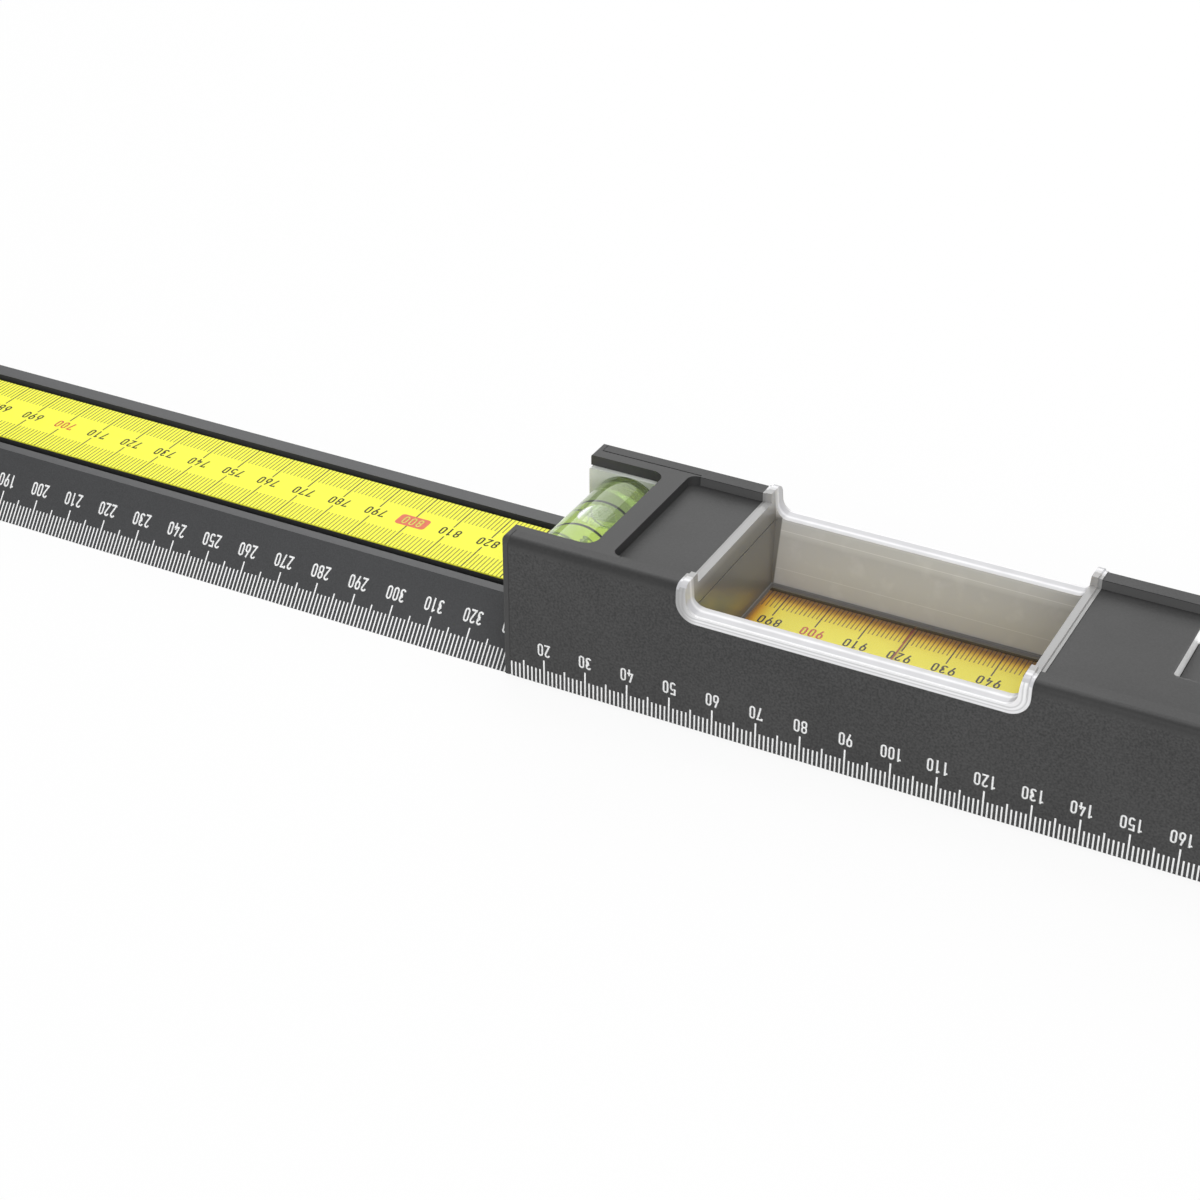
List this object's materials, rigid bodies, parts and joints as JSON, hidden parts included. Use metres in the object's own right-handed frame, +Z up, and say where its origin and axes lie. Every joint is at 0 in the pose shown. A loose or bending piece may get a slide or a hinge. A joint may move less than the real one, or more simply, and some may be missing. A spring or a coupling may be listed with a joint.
{
  "type": "door frame level",
  "caption": "Telescoping measuring level for door and window openings: ruled rail sliding out of a channel housing, clear reading window with a red line, and spirit vials.",
  "frame": {"origin": "middle of the part's length and width, on the plane of the rail's sole, with the rail drawn out by 320 mm", "axes": "+X along the tool from the rail's tip to the end cap, +Y from the ruled side to the back, +Z up from the sole"},
  "size_m": [0.92, 0.0484, 0.036],
  "materials": {
    "housing_metal": "dark grey anodised, fine grain",
    "rail_metal": "dark grey anodised, fine grain",
    "moulded_plastic": "fine spark-eroded texture",
    "clear_plastic": "clear, polished",
    "vial_liquid": "clear yellow-green liquid",
    "ring_print": "printed rings",
    "red_paint": "painted line",
    "tape_print": "yellow printed strip",
    "slider_plastic": "smooth black",
    "screw_steel": "plated steel"
  },
  "bodies": {
    "housing": {"housing_profile": "housing_metal", "mouth_insert": "moulded_plastic", "mouth_screws": "screw_steel", "cross_vial_barrel": "clear_plastic", "cross_vial_plug": "clear_plastic", "cross_vial_liquid": "vial_liquid", "cross_vial_rings": "ring_print", "reading_window": "clear_plastic", "red_line": "red_paint", "long_vial_block": "clear_plastic", "long_vial_plug": "clear_plastic", "long_vial_liquid": "vial_liquid", "long_vial_rings": "ring_print", "long_vial_cover": "moulded_plastic", "end_cap": "moulded_plastic", "end_cap_screws": "screw_steel", "stop_screw": "screw_steel"},
    "rail": {"rail_profile": "rail_metal", "rail_tape": "tape_print", "rail_cap": "moulded_plastic", "rail_cap_screws": "screw_steel", "slider": "slider_plastic", "slider_screws": "screw_steel"}
  },
  "joints": [
    {"name": "rail_slide", "type": "slide", "parent": "housing", "child": "rail", "axis": [-1, 0, 0], "range_m": [-0.32, 0.08]}
  ]
}
